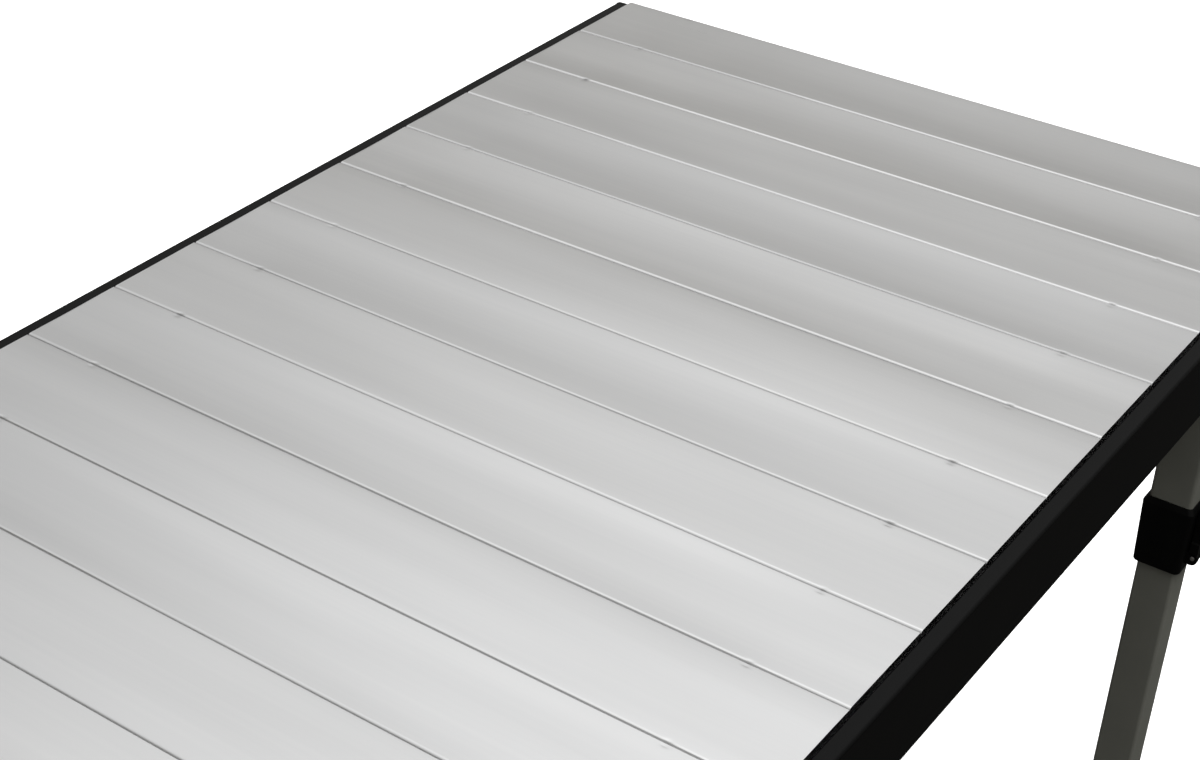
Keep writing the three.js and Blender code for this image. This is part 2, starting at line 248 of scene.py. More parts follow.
def noise(tree, vector, scale, detail=3.0, stretch=(1, 1, 1)):
    """Noise of this many features per metre, from 0 to 1, drawn out along the axes by stretch."""
    mapped = add(tree, "ShaderNodeMapping",
                 [("Vector", vector), ("Scale", [scale / s for s in stretch])])
    texture = add(tree, "ShaderNodeTexNoise",
                  [("Vector", mapped.outputs[0]), ("Scale", 1.0), ("Detail", detail)])
    return texture.outputs["Fac"]


def ramp(tree, factor, stops):
    """Colours (r, g, b) between factors: [(factor, colour), ...]."""
    node = add(tree, "ShaderNodeValToRGB", [("Fac", factor)])
    elements = node.color_ramp.elements
    while len(elements) < len(stops):
        elements.new(0.5)
    for element, (position, color) in zip(elements, stops):
        element.position = position
        element.color = (*color, 1)
    return node.outputs["Color"]


def scaled(tree, color, factor):
    return add(tree, "ShaderNodeVectorMath", [("Vector", color), ("Scale", factor)],
               operation="SCALE").outputs[0]


def falloff(tree, *distances):
    """1 where each (distance, reach) is nothing, falling away smoothly beyond its reach."""
    total = None
    for distance, reach in distances:
        share = math_node(tree, "DIVIDE", distance, reach)
        square = math_node(tree, "MULTIPLY", share, share)
        total = math_node(tree, "ADD", total, square) if total else square
    return math_node(tree, "EXPONENT", math_node(tree, "MULTIPLY", total, -1.0))


def span(tree, value, low, high):
    """value from 0 to 1, spread from low to high."""
    return add(tree, "ShaderNodeMapRange",
               [("Value", value), ("To Min", low), ("To Max", high)]).outputs[0]


def bumps(tree, *layers):
    """A normal from layers (height from 0 to 1, its depth in metres)."""
    normal = None
    for height, depth in layers:
        inputs = [("Height", height), ("Distance", depth), ("Strength", 1.0)]
        if normal:
            inputs.append(("Normal", normal))
        normal = add(tree, "ShaderNodeBump", inputs).outputs[0]
    return normal


def new_material(name, metallic, specular):
    material = bpy.data.materials.new(name)
    material.use_nodes = True
    tree = material.node_tree
    shader = tree.nodes["Principled BSDF"]
    shader.inputs["Metallic"].default_value = metallic
    shader.inputs["Specular IOR Level"].default_value = specular
    place = add(tree, "ShaderNodeTexCoord").outputs["Object"]
    return material, tree, shader, place


def finish_with(tree, shader, color, roughness, normal):
    for key, value in (("Base Color", color), ("Roughness", roughness), ("Normal", normal)):
        tree.links.new(value, shader.inputs[key])


def aluminium():
    """Satin anodised extrusion: grain, faint banding along each slat that is partly its own tone
    and partly painted sheen and shade, and painted shade over the cord dents.
    """
    material, tree, shader, place = new_material("anodised_aluminium", 1.0, 0.5)
    split = add(tree, "ShaderNodeSeparateXYZ", [("Vector", place)])
    x, y = split.outputs["X"], split.outputs["Y"]
    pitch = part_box("slat_01")[1].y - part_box("slat_02")[1].y
    index = math_node(tree, "FLOOR", math_node(tree, "DIVIDE", y, pitch))
    own = add(tree, "ShaderNodeTexWhiteNoise", [("W", index)], noise_dimensions="1D")
    grain = noise(tree, place, 2600, 3, (900, 1, 1))
    streaks = noise(tree, place, 320, 4, (160, 1, 1))
    bands_and_painted_sheen = noise(tree, place, 34, 1, (9, 1, 1))
    smudges = noise(tree, place, 9, 5)
    shade = math_node(tree, "ADD", math_node(tree, "MULTIPLY", own.outputs["Value"], 0.3),
                      math_node(tree, "MULTIPLY", streaks, 0.7))
    color = ramp(tree, shade, [(0.0, (0.745, 0.75, 0.755)), (1.0, (0.81, 0.81, 0.805))])
    # banding along the slats: partly the anodising's own tone, partly painted sheen and shade
    # standing in for reflected light
    color = scaled(tree, color, span(tree, bands_and_painted_sheen, 0.91, 1.07))
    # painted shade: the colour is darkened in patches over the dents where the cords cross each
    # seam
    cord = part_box("right_elastic_cord")
    from_cord = math_node(tree, "SUBTRACT", math_node(tree, "ABSOLUTE", x),
                          (cord[0].x + cord[1].x) / 2)
    from_seam = math_node(tree, "PINGPONG", y, pitch / 2)
    dent_shade = falloff(tree, (from_cord, 2.6 * MM), (from_seam, 2.6 * MM))
    patchy = noise(tree, place, 21, 1)
    painted_dent_shade = math_node(tree, "MULTIPLY", dent_shade, span(tree, patchy, -0.4, 0.9))
    painted_dent_shade = math_node(tree, "MAXIMUM", painted_dent_shade, 0.0)
    color = scaled(tree, color, math_node(tree, "SUBTRACT", 1.0, painted_dent_shade))
    roughness = math_node(tree, "ADD", span(tree, grain, 0.26, 0.32),
                          span(tree, smudges, -0.02, 0.04))
    finish_with(tree, shader, color, roughness,
                bumps(tree, (streaks, 0.0015 * MM), (grain, 0.0006 * MM)))
    return material


def powder_coat(name, dark, light, specular, grain_depth):
    """Fine-grained paint: tiny bumps, faint blotches, and edges worn a little lighter."""
    material, tree, shader, place = new_material(name, 0.0, specular)
    fine = noise(tree, place, 1500, 4)
    peel = noise(tree, place, 260, 2)
    blotches = noise(tree, place, 22, 5)
    edge = add(tree, "ShaderNodeNewGeometry").outputs["Pointiness"]
    wear = add(tree, "ShaderNodeMapRange", [("Value", edge), ("From Min", 0.515),
                                            ("From Max", 0.58)]).outputs[0]
    worn = math_node(tree, "MULTIPLY", wear, span(tree, blotches, 0.0, 0.55))
    shade = math_node(tree, "ADD", span(tree, blotches, 0.15, 0.45), worn)
    color = ramp(tree, shade, [(0.0, dark), (1.0, light)])
    roughness = math_node(tree, "ADD", span(tree, fine, 0.4, 0.52),
                          span(tree, blotches, -0.05, 0.05))
    finish_with(tree, shader, color, roughness,
                bumps(tree, (peel, 0.02 * MM), (fine, grain_depth)))
    return material


def moulded(name, dark, light, specular):
    """Moulded nylon with a spark-eroded texture, smoother where it is worn."""
    material, tree, shader, place = new_material(name, 0.0, specular)
    cells = add(tree, "ShaderNodeTexVoronoi", [("Vector", place), ("Scale", 1900.0)])
    fine = noise(tree, place, 2600, 3)
    blotches = noise(tree, place, 60, 4)
    color = ramp(tree, blotches, [(0.25, dark), (0.8, light)])
    roughness = math_node(tree, "ADD", span(tree, fine, 0.46, 0.6),
                          span(tree, blotches, -0.07, 0.05))
    finish_with(tree, shader, color, roughness,
                bumps(tree, (cells.outputs["Distance"], 0.012 * MM), (fine, 0.008 * MM)))
    return material


def plated_steel():
    """Zinc-plated steel with turning marks and a cloudy sheen."""
    material, tree, shader, place = new_material("zinc_plated_steel", 1.0, 0.5)
    marks = noise(tree, place, 3000, 2, (1, 60, 60))
    clouds = noise(tree, place, 240, 4)
    color = ramp(tree, clouds, [(0.2, (0.42, 0.43, 0.45)), (0.8, (0.62, 0.61, 0.58))])
    roughness = math_node(tree, "ADD", span(tree, marks, 0.22, 0.36),
                          span(tree, clouds, -0.04, 0.08))
    finish_with(tree, shader, color, roughness, bumps(tree, (marks, 0.004 * MM)))
    return material


def braid():
    """The braided sleeve of an elastic cord: two sets of strands that cross."""
    material, tree, shader, place = new_material("braided_elastic", 0.0, 0.25)
    split = add(tree, "ShaderNodeSeparateXYZ", [("Vector", place)])
    waves = []
    for lean in (1, -1):
        along = math_node(tree, "MULTIPLY", split.outputs["Y"], 5200.0)
        around = math_node(tree, "MULTIPLY", split.outputs["Z"], lean * 3600.0)
        waves.append(math_node(tree, "SINE", math_node(tree, "ADD", along, around)))
    weave = math_node(tree, "MAXIMUM", waves[0], waves[1])
    height = add(tree, "ShaderNodeMapRange", [("Value", weave), ("From Min", -1.0)]).outputs[0]
    fuzz = noise(tree, place, 5000, 2)
    # painted shade: the weave's hollows are coloured darker than its crests
    color = ramp(tree, height, [(0.0, (0.004, 0.004, 0.004)), (1.0, (0.03, 0.03, 0.031))])
    finish_with(tree, shader, color, span(tree, fuzz, 0.7, 0.92),
                bumps(tree, (height, 0.12 * MM), (fuzz, 0.02 * MM)))
    return material


ALUMINIUM = aluminium()
RAIL_COAT = powder_coat("black_rail_coat", (0.0009, 0.0009, 0.0009), (0.005, 0.0052, 0.0053),
                        0.09, 0.004 * MM)
TUBE_PAINT = powder_coat("warm_grey_tube_paint", (0.14, 0.142, 0.124), (0.27, 0.273, 0.24),
                         0.3, 0.004 * MM)
PLASTIC = moulded("black_moulded_nylon", (0.0012, 0.0012, 0.0011), (0.0032, 0.0032, 0.003), 0.12)
STEEL = plated_steel()
ELASTIC = braid()


# ---------------------------------------------------------------- pieces
def add_piece(name, solid, body, material, replaces=(), bevel=0.0, segments=2):
    """Makes a piece of a bmesh, whose points are in the row frame, and has it ride on body."""
    for face in solid.faces:
        face.smooth = True
    for edge in solid.edges:
        if not bevel and len(edge.link_faces) == 2:
            edge.smooth = edge.calc_face_angle(0) < math.radians(38)
    data = bpy.data.meshes.new(name)
    solid.to_mesh(data)
    solid.free()
    data.materials.append(material)
    obj = bpy.data.objects.new(name, data)
    scene.collection.objects.link(obj)
    if bevel:
        round_off = obj.modifiers.new("round_off", "BEVEL")
        round_off.width, round_off.segments = bevel, segments
        round_off.limit_method, round_off.angle_limit = "ANGLE", math.radians(38)
    weigh = obj.modifiers.new("weigh_normals", "WEIGHTED_NORMAL")
    weigh.keep_sharp = True
    if body:
        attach(obj, body)
    if replaces:
        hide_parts(*replaces)
    return obj


def slat_name(index):
    return f"slat_{index:02d}"


def slat_body(index):
    return "root" if index == SLAT_COUNT else slat_name(index)


def spread(half, *insets):
    """Places from -half to half, at these distances from the ends and at the middle."""
    sides = [half - inset for inset in insets]
    return [-place for place in sides] + [0.0] + sides[::-1]


def make_slat(index):
    low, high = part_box(slat_name(index))
    draw = random.Random(index)
    middle, half, deep = (low.y + high.y) / 2, (high.y - low.y) / 2, high.z - low.z
    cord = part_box("right_elastic_cord")
    cord_x, cord_z = (cord[0].x + cord[1].x) / 2, (cord[0].z + cord[1].z) / 2
    cup = SLAT_CUPS[index - 1] * 0.1 * MM
    twist = [draw.uniform(-1, 1) * SLAT_TWIST for _ in range(2)]
    jogs = [draw.uniform(0, 1) * SLAT_END_JOG for _ in range(2)]
    end = high.x

    corners = box_corners(-half, -deep, half, 0)
    corner_steps = 5
    edge = fillet(corners, [0.6 * MM, 0.6 * MM, SLAT_FAR_EDGE, SLAT_NEAR_EDGE], corner_steps)
    steps = [2.25, 2.5, 2.8, 3.2, 4, 5, 6.5, 8.5, 11, 15, 20, 25, 31]
    across = [(y, 0.0) for y in spread(half, *[step * MM for step in steps])]
    turn = 3 * (corner_steps + 1)  # three rounded corners come before the top face
    outer = edge[:turn] + across[::-1] + edge[turn:]
    web = SLAT_WALL / 2
    holes = [fillet(box_corners(a, SLAT_WALL - deep, b, -SLAT_WALL), 0.4 * MM, 2)[::-1]
             for a, b in ((SLAT_WALL - half, -web), (web, half - SLAT_WALL))]

    near_cord = [offset * MM for offset in (-6, -4.2, -3, -2, -1, 0, 1, 2, 3, 4.2, 6)]
    stations = [side * cord_x + offset for side in (-1, 1) for offset in near_cord]
    stations += [end * share for share in (-1, -0.9, -0.65, -0.5, -0.35, -0.2, 0, 0.2, 0.35,
                                           0.5, 0.65, 0.9, 1)]

    def shape(x, y, z):
        share, along = y / half, x / end
        if z > -0.2 * MM:
            lean = (twist[0] * (1 - along) + twist[1] * (1 + along)) / 2
            sag = cup * (1 - 0.7 * along ** 6)  # the ends are straighter
            z -= sag * (1 - share * share) + max(0, -sag)
            z -= SLAT_DROOP * share ** 8 + SLAT_TWIST + lean * share
            for spot in (-cord_x, cord_x):
                far = math.hypot((x - spot) / DENT_LENGTH,
                                 (abs(y) - (half - DENT_INSET)) / DENT_WIDTH)
                z -= DENT_DEPTH * math.exp(-far * far)
        if abs(along) > 0.999:
            x -= math.copysign(jogs[x > 0], x)
        return x, y + middle, z + high.z

    bar = prism("X", sorted(stations), outer, holes, shape)
    drills = []
    for side in (-1, 1):
        hole = circle(side * cord_x, cord_z, CORD_HOLE, 24)
        drills.append(prism("Y", [low.y - 2 * MM, high.y + 2 * MM], hole))
    return combine("DIFFERENCE", bar, *drills)


def add_top():
    for index in range(1, SLAT_COUNT + 1):
        name = slat_name(index)
        add_piece(f"{name}_panel", make_slat(index), slat_body(index), ALUMINIUM, [name])


def cord_run(x, z, radius, near, far, seam=None):
    """A stretch of cord along Y, with rings close together at the seam."""
    places = [near, far]
    if seam is not None:
        places += [seam + offset * MM for offset in range(-6, 7)]
    return prism("Y", sorted(places), circle(x, z, radius, 16))


def add_cords():
    for side, _ in SIDES:
        node = f"{side}_elastic_cord"
        low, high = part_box(node)
        x, z, radius = (low.x + high.x) / 2, (low.z + high.z) / 2, (high.x - low.x) / 2
        middles = []
        for index in range(1, SLAT_COUNT + 1):
            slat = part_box(slat_name(index))
            middles.append((slat[0].y + slat[1].y) / 2)
        for index in range(1, SLAT_COUNT):
            seam = (middles[index - 1] + middles[index]) / 2
            run = cord_run(x, z, radius, middles[index], middles[index - 1], seam)
            piece = add_piece(f"{side}_cord_{index:02d}", run, None, ELASTIC,
                              [node])
            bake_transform(piece)
        for end, along, index in (("far", 1, 1), ("near", -1, SLAT_COUNT)):
            ending = high.y if along > 0 else low.y
            reach = sorted((middles[index - 1], ending))
            add_piece(f"{side}_cord_{end}_end", cord_run(x, z, radius, *reach),
                      slat_body(index), ELASTIC, [node])
            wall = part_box(slat_name(index))[1 if along > 0 else 0].y
            profile = [(2.1, -5), (2.2, -4.6), (2.2, -0.3), (2.0, 0.05), (1.2, 0.22), (0.4, 0.26)]
            stop = turned("Y", [(r * MM, along * s * MM) for r, s in profile], 24)
            add_piece(f"{side}_cord_stop_{end}", moved(stop, Matrix.Translation((x, wall, z))),
                      slat_body(index), PLASTIC)


def add_rails():
    for side, across in SIDES:
        turn = Matrix.Rotation(0 if across > 0 else math.pi, 4, "Z")
        low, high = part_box(f"{side}_rail")
        inner_x, outer_x = sorted((abs(low.x), abs(high.x)))
        stations = [low.y, low.y / 2, 0, high.y / 2, high.y]
        section = fillet(box_corners(inner_x, low.z, outer_x, high.z),
                         [r * MM for r in (1, 2, 2.2, 1.4)], 8)
        hollow = fillet(box_corners(inner_x + RAIL_WALL, low.z + RAIL_WALL, outer_x - RAIL_WALL,
                                    high.z - RAIL_WALL), 0.5 * MM, 3)[::-1]
        rail = prism("Y", stations, section, [hollow])
        add_piece(f"{side}_rail_profile", moved(rail, turn), "root", RAIL_COAT,
                  [f"{side}_rail"])
        low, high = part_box(f"{side}_slat_ledge")
        inner_x, outer_x = sorted((abs(low.x), abs(high.x)))
        lip = fillet(box_corners(inner_x, low.z, outer_x, high.z),
                     [r * MM for r in (0.7, 0.2, 0.2, 0.7)], 4)
        add_piece(f"{side}_slat_ledge_strip", moved(prism("Y", stations, lip), turn), "root",
                  RAIL_COAT, [f"{side}_slat_ledge"])
        for end, along in ENDS:
            add_rail_cap(side, end, along)


def add_rail_cap(side, end, along):
    """A moulded cap: a plate with rounded ends and edges, and a plug inside the rail."""
    node = f"{side}_rail_cap_{end}"
    low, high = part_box(node)
    middle, half = (low.x + high.x) / 2, (high.x - low.x) / 2
    outside = high.y if along > 0 else low.y
    inside = outside - along * CAP_THICKNESS
    outline = fillet(box_corners(-half, 0, half, CAP_THICKNESS),
                     [0.2 * MM, 0.2 * MM, 3.2 * MM, 3.2 * MM], 8)
    rings = []
    for z, inset in ((low.z, 0.9), (low.z + 0.3 * MM, 0.35), (low.z + 0.9 * MM, 0),
                     (high.z - 0.9 * MM, 0), (high.z - 0.3 * MM, 0.35), (high.z, 0.9)):
        shrink = 1 - inset * MM / half
        rings.append([(middle + u * shrink, inside + along * v * shrink, z) for u, v in outline])
    plate = loft(rings)
    side_gap = RAIL_WALL + 0.3 * MM
    plug = fillet(box_corners(-half + side_gap, -10 * MM, half - side_gap, CAP_THICKNESS / 2),
                  [0.8 * MM, 0.8 * MM, 0, 0], 4)
    body = prism("Z", [low.z + side_gap, high.z - side_gap],
                 [(middle + u, inside + along * v) for u, v in plug])
    add_piece(f"{node}_moulding", combine("UNION", plate, body), "root", PLASTIC,
              [node])


def add_beams():
    for where in ("far", "middle", "near"):
        node = f"{where}_cross_beam"
        low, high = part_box(node)
        section = fillet(box_corners(low.y, low.z, high.y, high.z), 1.0 * MM, 5)
        hollow = fillet(box_corners(low.y + BEAM_WALL, low.z + BEAM_WALL, high.y - BEAM_WALL,
                                    high.z - BEAM_WALL), 0.4 * MM, 3)[::-1]
        stations = [low.x * share for share in (1, 0.5, 0, -0.5, -1)]
        add_piece(f"{node}_bar", prism("X", stations, section, [hollow]), "root", RAIL_COAT,
                  [node])
        for side, _ in SIDES:
            for number, offset in ((1, -RIVET_OFFSET), (2, RIVET_OFFSET)):
                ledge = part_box(f"{side}_slat_ledge")
                x = (ledge[0].x + ledge[1].x) / 2
                profile = [(3.2, 0.2), (3.3, -0.3), (2.9, -0.9), (1.7, -1.3), (1.3, -1.3),
                           (1.2, -0.7), (0.3, -0.7)]
                rivet = turned("Z", [(r * MM, z * MM) for r, z in profile], 24)
                place = Matrix.Translation((x, (low.y + high.y) / 2 + offset, low.z))
                add_piece(f"{where}_beam_{side}_rivet_{number}", moved(rivet, place), "root",
                          STEEL)


# ---------------------------------------------------------------- legs
# A leg is drawn round its pivot, with +X towards its rail, and put in its place by a matrix.
def leg_place(name, across):
    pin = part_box(f"{name}_pivot_pin")
    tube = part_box(f"{name}_upper_leg")
    pivot = Vector(((tube[0].x + tube[1].x) / 2, (pin[0].y + pin[1].y) / 2,
                    (pin[0].z + pin[1].z) / 2))
    turn = Matrix.Rotation(0 if across > 0 else math.pi, 4, "Z")
    return pivot, Matrix.Translation(pivot) @ turn


def square_tube(width, corner, low, high):
    bore = rounded_square(width - 2 * TUBE_WALL, corner - TUBE_WALL)[::-1]
    third = (high - low) / 3
    return prism("Z", [low, low + third, high - third, high], rounded_square(width, corner),
                 [bore])


def make_upper_leg(width, low, outward):
    """A tube with a bore for its pin, its top rounded on the side that it swings to."""
    half = width / 2
    arc = [(half * math.cos(a), half * math.sin(a))
           for a in [math.pi / 2 * i / 12 for i in range(13)]]
    top = [(half, half), *[(-u, v) for u, v in arc[::-1]]] if outward > 0 else [
        *arc, (-half, half)]
    profile = prism("X", [-width, width], [(-half, low), (half, low), *top])
    bore = prism("X", [-width, width], circle(0, 0, PIVOT_BORE))
    tube = square_tube(width, 3.2 * MM, low - 0.5 * MM, half + 0.5 * MM)
    return combine("DIFFERENCE", combine("INTERSECT", tube, profile), bore)


def make_bracket(width, reach, top):
    """A moulded fork over the top of a leg, with a boss and ribs on its inner cheek."""
    low = -17 * MM
    web, gap = width / 2 + 0.3 * MM, width / 2 + 0.5 * MM
    inner = gap + 4.4 * MM
    crest = web + 3.5 * MM
    section = fillet(
        [(gap, low), (reach, low), (reach, top), (gap + 6 * MM, top), (gap + 6 * MM, crest),
         (-inner, crest), (-inner, low), (-gap, low), (-gap, web), (gap, web)],
        [r * MM for r in (0.8, 0.5, 0.5, 0.8, 1.5, 2, 0.8, 0.8, 0.6, 0.6)], 4)
    side = fillet(box_corners(-24 * MM, low, 24 * MM, top), [r * MM for r in (10, 10, 2, 2)], 8)
    block = combine("INTERSECT", prism("Y", [-BEYOND, BEYOND], section),
                    prism("X", [-BEYOND, BEYOND], side))
    boss = turned("X", [(9.5 * MM, -inner + 0.5 * MM), (9.5 * MM, -inner - 0.2 * MM),
                        (9.1 * MM, -inner - 0.6 * MM)])
    ribs = [prism("X", [-inner - 0.6 * MM, -inner + 0.5 * MM],
                  fillet(box_corners(y - 0.8 * MM, low + 4 * MM, y + 0.8 * MM, crest - 4 * MM),
                         0.7 * MM, 3)) for y in (-17 * MM, 17 * MM)]
    block = combine("UNION", block, boss, *ribs)
    return combine("DIFFERENCE", block, prism("X", [-BEYOND, BEYOND], circle(0, 0, PIVOT_BORE)))


def make_pin(head, tip):
    thick = 2.6 * MM
    profile = [(1.6, head + 0.9 * MM), (2.0, head + 0.9 * MM), (2.3, head), (5.3, head),
               (6.1, head + 0.35 * MM), (6.5, head + 1.1 * MM), (6.5, head + thick),
               (4, head + thick), (4, tip - 0.6 * MM), (3.4, tip)]
    return turned("X", [(r * MM, x) for r, x in profile], 40)


def make_foot(width, low, high, tube):
    """A moulded foot: chamfered at the ground, with two grip grooves and a recessed sole."""
    rise = high - low
    groove = 0.9 * MM
    levels = [(0, -4 * MM, 4), (0.7 * MM, -2.2 * MM, 4.4), (2 * MM, 0, 5)]
    for centre in (0.36 * rise, 0.56 * rise):
        levels += [(centre - 1.5 * MM, 0, 5), (centre - 0.8 * MM, -2 * groove, 4.4),
                   (centre + 0.8 * MM, -2 * groove, 4.4), (centre + 1.5 * MM, 0, 5)]
    levels += [(rise - 1.6 * MM, 0, 5), (rise - 0.5 * MM, -0.7 * MM, 4.7), (rise, -2 * MM, 4)]
    block = square_loft([(low + z, width + grow, radius * MM) for z, grow, radius in levels])
    socket = prism("Z", [low + 5 * MM, high + 1 * MM],
                   rounded_square(tube + 0.6 * MM, 2.7 * MM))
    tread = [prism("Z", [low - 1 * MM, low + 1 * MM],
                   fillet(box_corners(x - 1.1 * MM, -10 * MM, x + 1.1 * MM, 10 * MM), MM, 4))
             for x in (-8 * MM, -4 * MM, 0, 4 * MM, 8 * MM)]
    return combine("DIFFERENCE", block, socket, *tread)


def make_collar(width, low, high, upper, lower, step, hub_x, hub_z):
    """A clamp collar: a tapered sleeve with a chamfered rim, a slit, and two ears."""
    shoulder = high - COLLAR_CHAMFER
    share = [(0.0, COLLAR_FOOT - 2.4 * MM), (0.5 * MM, COLLAR_FOOT - 0.9 * MM),
             (1.5 * MM, COLLAR_FOOT)]
    sections = [(low + rise, size, COLLAR_CORNER) for rise, size in share]
    sections += [(shoulder - 0.5 * MM, width, COLLAR_CORNER),
                 (shoulder + 0.3 * MM, width - 0.7 * MM, COLLAR_CORNER),
                 (high - 0.3 * MM, COLLAR_RIM + 0.35 * MM, COLLAR_CORNER),
                 (high, COLLAR_RIM, COLLAR_CORNER)]
    half = width / 2
    rounding = fillet(box_corners(-half, low, half, high), [5 * MM, 5 * MM, 0, 0], 8)
    body = combine("INTERSECT", square_loft(sections), prism("Y", [-half, half], rounding))
    ear = fillet(box_corners(half - 4 * MM, hub_z - 6 * MM, hub_x + 4 * MM, hub_z + 4 * MM),
                 [0, 5 * MM, 3.5 * MM, 0], 8)
    ears = [prism("Y", sorted((side * EAR_INNER, side * EAR_OUTER)), ear) for side in (1, -1)]
    body = combine("UNION", body, *ears)
    slit = box_corners(half - 7 * MM, -1 * MM, half + 1 * MM, 1 * MM)
    return combine(
        "DIFFERENCE", body,
        prism("Z", [step - 0.3 * MM, high + 1 * MM], rounded_square(upper + 0.6 * MM, 3.5 * MM)),
        prism("Z", [low - 1 * MM, step], rounded_square(lower + 0.6 * MM, 2.7 * MM)),
        prism("Z", [low - 1 * MM, shoulder - 12 * MM], slit),
        prism("Y", [-BEYOND, BEYOND], circle(hub_x, hub_z, 2.1 * MM, 24)))


def make_lever(width, top, hub_x, hub_z):
    """A clamp lever: a hub, and a handle up the collar's side with a thumb grip at its tip."""
    face = width / 2 + 0.6 * MM
    outer = hub_x + 3.2 * MM
    tip = top + 2 * MM
    outline = fillet(
        [(face, hub_z + 3 * MM), (outer, hub_z + 3 * MM), (outer, tip - 13 * MM),
         (outer + 0.3 * MM, tip - 6 * MM), (outer + 0.9 * MM, tip), (outer - 2.4 * MM, tip),
         (face + 1.2 * MM, tip - 6 * MM), (face, tip - 13 * MM)],
        [r * MM for r in (0.6, 1.2, 6, 6, 1.2, 1, 6, 6)], 5)
    rim = 0.6 * MM
    handle = prism("Y", [-EAR_OUTER, rim - EAR_OUTER, EAR_OUTER - rim, EAR_OUTER], outline)
    waist = []  # narrows the handle between its grip and its hub
    for side in (1, -1):
        near, far = sorted((side * 9.9 * MM, side * 14 * MM))
        cut = fillet(box_corners(near, hub_z + 13 * MM, far, tip - 16 * MM), 2 * MM, 6)
        waist.append(prism("X", [face - 2 * MM, outer + 3 * MM], cut))
    handle = combine("DIFFERENCE", handle, *waist)
    neck = prism("Y", [-HUB_HALF, HUB_HALF], box_corners(face, hub_z, outer, hub_z + 9 * MM))
    hub = prism("Y", [-HUB_HALF, HUB_HALF], circle(hub_x, hub_z, 4 * MM))
    grips = [prism("Y", [-7.5 * MM, 7.5 * MM], circle(outer + 0.75 * MM, tip - z, 0.75 * MM, 16))
             for z in (3 * MM, 5.5 * MM, 8 * MM, 10.5 * MM)]
    return combine("DIFFERENCE", combine("UNION", handle, neck, hub), *grips)


def make_lever_pin(hub_x, hub_z):
    reach = EAR_OUTER + 0.4 * MM
    profile = [(1.0, -reach), (1.8, -reach + 0.5 * MM), (1.8, reach - 0.5 * MM), (1.0, reach)]
    pin = turned("Y", [(r * MM, y) for r, y in profile], 24)
    return moved(pin, Matrix.Translation((hub_x, 0, hub_z)))


def add_leg(name, across, along):
    pivot, place = leg_place(name, across)
    end = name.split("_")[0]
    swing, slide, lever = f"{end}_leg_frame", f"{name}_telescope", f"{name}_lever"

    def local(node):
        low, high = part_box(f"{name}_{node}")
        return low - pivot, high - pivot

    def put(piece, solid, body, material, replaces=(), bevel=0.0):
        replaced = [f"{name}_{node}" for node in replaces]
        return add_piece(f"{name}_{piece}", moved(solid, place), body, material, replaced,
                         bevel)

    upper, lower = local("upper_leg"), local("lower_leg")
    collar, foot, bracket = local("clamp_collar"), local("foot"), local("hinge_bracket")
    pin = local("pivot_pin")
    upper_width, lower_width = upper[1].y - upper[0].y, lower[1].y - lower[0].y
    collar_width = collar[1].y - collar[0].y
    hub_x, hub_z = HUB_FROM_LEG, collar[0].z + HUB_OVER_FOOT
    reach = max(across * bracket[0].x, across * bracket[1].x)
    head = min(across * pin[0].x, across * pin[1].x)
    tip = max(across * pin[0].x, across * pin[1].x)

    put("bracket_moulding", make_bracket(upper_width, reach, bracket[1].z), "root", PLASTIC,
        ["hinge_bracket"], 0.35 * MM)
    put("pivot_rivet", make_pin(head, tip), "root", STEEL, ["pivot_pin"])
    put("upper_tube", make_upper_leg(upper_width, upper[0].z, across * along), swing, TUBE_PAINT,
        ["upper_leg"])
    put("lower_tube", square_tube(lower_width, 2.4 * MM, lower[0].z, lower[1].z), slide,
        TUBE_PAINT, ["lower_leg"])
    put("foot_moulding", make_foot(foot[1].y - foot[0].y, foot[0].z, foot[1].z, lower_width),
        slide, PLASTIC, ["foot"], 0.2 * MM)
    put("collar_moulding", make_collar(collar_width, collar[0].z, collar[1].z, upper_width,
                                       lower_width, upper[0].z, hub_x, hub_z),
        swing, PLASTIC, ["clamp_collar"], 0.25 * MM)
    put("lever_moulding", make_lever(collar_width, collar[1].z, hub_x, hub_z), lever, PLASTIC,
        ["clamp_lever"], 0.4 * MM)
    put("lever_pin", make_lever_pin(hub_x, hub_z), lever, STEEL)


def add_crossbar(end):
    """A round crossbar between two legs, with moulded sockets at its ends."""
    node = f"{end}_leg_crossbar"
    low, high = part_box(node)
    centre = Vector((0, (low.y + high.y) / 2, (low.z + high.z) / 2))
    radius = (high.z - low.z) / 2
    stations = [low.x * share for share in (1, 0.5, 0, -0.5, -1)]
    bore = circle(0, 0, radius - CROSSBAR_WALL, 48)[::-1]
    bar = prism("X", stations, circle(0, 0, radius, 48), [bore])
    add_piece(f"{node}_tube", moved(bar, Matrix.Translation(centre)), f"{end}_leg_frame",
              TUBE_PAINT, [node])
    for side, across in SIDES:
        profile = [(0, 13.6), (0.5, 14), (7, 14), (11, 12.6), (14, 12.2), (14.5, 11.6)]
        outer = [(r * MM, across * (high.x - x * MM)) for x, r in profile]
        tube = prism("X", [-2 * high.x, 2 * high.x], circle(0, 0, radius + 0.05 * MM, 48))
        ferrule = combine("DIFFERENCE", turned("X", outer, 48), tube)
        add_piece(f"{end}_crossbar_{side}_socket", moved(ferrule, Matrix.Translation(centre)),
                  f"{end}_leg_frame", PLASTIC)


